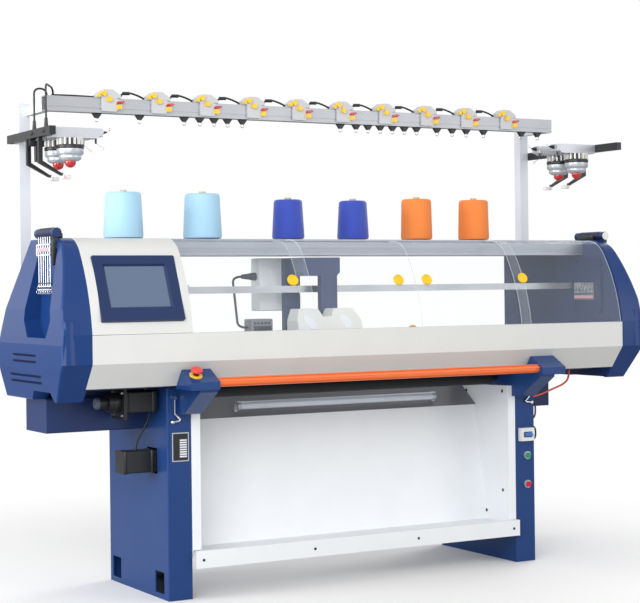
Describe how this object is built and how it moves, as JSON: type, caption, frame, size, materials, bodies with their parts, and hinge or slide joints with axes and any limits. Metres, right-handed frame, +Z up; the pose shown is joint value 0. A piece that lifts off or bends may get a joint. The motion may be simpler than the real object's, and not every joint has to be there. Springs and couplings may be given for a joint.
{
  "type": "flat knitting machine",
  "caption": "Flat knitting machine: V-shaped needle beds and a carriage under a curved hood with sliding windows, on box legs, with a yarn stand, storage feeders and a fabric bin",
  "frame": {"origin": "on the floor, at the centre of the rectangle of floor bolts in the two legs", "axes": "+X along the needle beds to the right as seen from the front, +Y to the back, +Z up"},
  "size_m": [2.72, 0.843, 1.9999],
  "materials": {
    "blue_paint": "satin",
    "dark_blue_paint": "satin",
    "cream_paint": "satin",
    "pale_paint": "satin",
    "grey_paint": "satin",
    "orange_paint": "satin",
    "bare_steel": "satin",
    "chrome_steel": "gloss",
    "bed_steel": "satin",
    "cast_base": "matt",
    "rail_aluminium": "satin",
    "motor_black": "satin",
    "bezel_plastic": "satin",
    "screen_glass": "gloss",
    "clear_window": "gloss",
    "white_plastic": "satin",
    "black_plastic": "satin",
    "black_rubber": "matt",
    "yellow_plastic": "gloss",
    "red_plastic": "gloss",
    "green_plastic": "gloss",
    "blue_plastic": "gloss",
    "feeder_grey": "satin",
    "drum_black": "gloss",
    "yarn": "matt",
    "lamp_white": "gloss"
  },
  "bodies": {
    "frame": {"leg_left": "blue_paint", "leg_right": "blue_paint", "bed_base": "cast_base", "needle_bed_front": "bed_steel", "electrical_box": "dark_blue_paint", "front_panel": "cream_paint", "rear_panel": "cream_paint", "control_housing": "cream_paint", "control_bezel": "bezel_plastic", "touch_screen": "screen_glass", "end_cover_left": "blue_paint", "end_cover_right": "blue_paint", "side_plates": "dark_blue_paint", "rear_hood_panels": "dark_blue_paint", "yarn_entry_guides": "bare_steel", "yarn_table": "rail_aluminium", "fixed_windows": "clear_window", "guide_rails": "bare_steel", "servo_motors": "motor_black", "drive_belt": "black_rubber", "rod_brackets": "dark_blue_paint", "fabric_bin": "pale_paint", "bin_upper_sheet": "grey_paint", "work_lamp": "lamp_white", "posts": "pale_paint", "top_rail": "rail_aluminium", "tension_units": "white_plastic", "tension_knobs": "yellow_plastic", "black_leads": "black_rubber", "yarn_guides": "black_plastic", "side_tensioners": "bare_steel", "feeder_bars": "motor_black", "feeder_bodies": "feeder_grey", "yarn_cones": "yarn", "breaker": "white_plastic", "pushbutton_bezels": "chrome_steel", "air_hose": "red_plastic"},
    "carriage": {"carriage_bridge": "dark_blue_paint", "carriage_front_cover": "white_plastic", "carriage_wiring_box": "cream_paint"},
    "yarn_carrier": {"yarn_carrier": "bare_steel"},
    "drive_pulley": {"drive_pulley": "bare_steel"},
    "idler_pulley": {"idler_pulley": "bare_steel"},
    "rear_bed": {"needle_bed_rear": "bed_steel"},
    "racking_screw": {"racking_screw": "chrome_steel"},
    "start_rod": {"start_rod": "orange_paint"},
    "estop_button": {"estop_button": "red_plastic"},
    "start_button": {"start_button": "green_plastic"},
    "stop_button": {"stop_button": "red_plastic"},
    "breaker_toggle": {"breaker_toggle": "blue_plastic"},
    "window_left": {"window_left": "clear_window"},
    "window_right": {"window_right": "clear_window"},
    "clamp_lever_left": {"clamp_lever_left": "chrome_steel"},
    "clamp_lever_right": {"clamp_lever_right": "chrome_steel"},
    "takedown_roller": {"takedown_roller": "black_rubber"},
    "press_roller": {"press_roller": "bare_steel"},
    "drum_left_front": {"feeder_drum_left_front": "drum_black"},
    "drum_left_rear": {"feeder_drum_left_rear": "drum_black"},
    "drum_right_front": {"feeder_drum_right_front": "drum_black"},
    "drum_right_rear": {"feeder_drum_right_rear": "drum_black"}
  },
  "joints": [
    {"name": "carriage_slide", "type": "slide", "parent": "frame", "child": "carriage", "axis": [1, 0, 0], "range_m": [-0.65, 0.95]},
    {"name": "yarn_carrier_slide", "type": "slide", "parent": "frame", "child": "yarn_carrier", "axis": [1, 0, 0], "range_m": [-0.35, 1.45]},
    {"name": "drive_pulley_turn", "type": "hinge", "parent": "frame", "child": "drive_pulley", "pos_m": [-1.16, 0.0725, 0.95], "axis": [0, 1, 0], "continuous": true},
    {"name": "idler_pulley_turn", "type": "hinge", "parent": "frame", "child": "idler_pulley", "pos_m": [1.16, 0.0725, 0.95], "axis": [0, 1, 0], "continuous": true},
    {"name": "rear_bed_racking", "type": "slide", "parent": "frame", "child": "rear_bed", "axis": [1, 0, 0], "range_m": [-0.025, 0.025]},
    {"name": "racking_screw_turn", "type": "hinge", "parent": "frame", "child": "racking_screw", "pos_m": [-0.8, -0.06431, 0.92885], "axis": [1, 0, 0], "continuous": true},
    {"name": "start_rod_turn", "type": "hinge", "parent": "frame", "child": "start_rod", "pos_m": [0, -0.4785, 0.848], "axis": [1, 0, 0], "range_deg": [-20, 20], "stiffness_Nm_per_rad": 3},
    {"name": "estop_press", "type": "slide", "parent": "frame", "child": "estop_button", "axis": [0, 0.4657, -0.885], "range_m": [0, 0.005], "stiffness_N_per_m": 400, "springref_m": -0.003},
    {"name": "start_button_press", "type": "slide", "parent": "frame", "child": "start_button", "axis": [0, 1, 0], "range_m": [0, 0.004], "stiffness_N_per_m": 250},
    {"name": "stop_button_press", "type": "slide", "parent": "frame", "child": "stop_button", "axis": [0, 1, 0], "range_m": [0, 0.004], "stiffness_N_per_m": 250},
    {"name": "breaker_toggle_turn", "type": "hinge", "parent": "frame", "child": "breaker_toggle", "pos_m": [0.825, -0.3155, 0.553], "axis": [1, 0, 0], "range_deg": [-22, 22]},
    {"name": "window_left_slide", "type": "slide", "parent": "frame", "child": "window_left", "axis": [1, 0, 0], "range_m": [-0.38, 0]},
    {"name": "window_right_slide", "type": "slide", "parent": "frame", "child": "window_right", "axis": [1, 0, 0], "range_m": [0, 0.38]},
    {"name": "clamp_lever_left_turn", "type": "hinge", "parent": "frame", "child": "clamp_lever_left", "pos_m": [-0.8465, -0.2915, 0.783], "axis": [0, 1, 0], "range_deg": [0, 60]},
    {"name": "clamp_lever_right_turn", "type": "hinge", "parent": "frame", "child": "clamp_lever_right", "pos_m": [0.8465, -0.2915, 0.783], "axis": [0, -1, 0], "range_deg": [0, 60]},
    {"name": "takedown_roller_turn", "type": "hinge", "parent": "frame", "child": "takedown_roller", "pos_m": [0, -0.15225, 0.792], "axis": [1, 0, 0], "continuous": true},
    {"name": "press_roller_turn", "type": "hinge", "parent": "frame", "child": "press_roller", "pos_m": [0, -0.10475, 0.792], "axis": [1, 0, 0], "continuous": true},
    {"name": "drum_left_front_turn", "type": "hinge", "parent": "frame", "child": "drum_left_front", "pos_m": [-1.1805, -0.0915, 1.75], "axis": [0, 0, 1], "continuous": true},
    {"name": "drum_left_rear_turn", "type": "hinge", "parent": "frame", "child": "drum_left_rear", "pos_m": [-1.1805, 0.0385, 1.75], "axis": [0, 0, 1], "continuous": true},
    {"name": "drum_right_front_turn", "type": "hinge", "parent": "frame", "child": "drum_right_front", "pos_m": [1.1805, -0.2215, 1.75], "axis": [0, 0, 1], "continuous": true},
    {"name": "drum_right_rear_turn", "type": "hinge", "parent": "frame", "child": "drum_right_rear", "pos_m": [1.1805, -0.0915, 1.75], "axis": [0, 0, 1], "continuous": true}
  ],
  "couplings": [
    {"joint": "drive_pulley_turn", "follows": "carriage_slide", "rad_per_m": 23.923},
    {"joint": "idler_pulley_turn", "follows": "carriage_slide", "rad_per_m": 23.923},
    {"joint": "racking_screw_turn", "follows": "rear_bed_racking", "rad_per_m": -628.32},
    {"joint": "press_roller_turn", "follows": "takedown_roller_turn", "ratio": -1.1905}
  ]
}
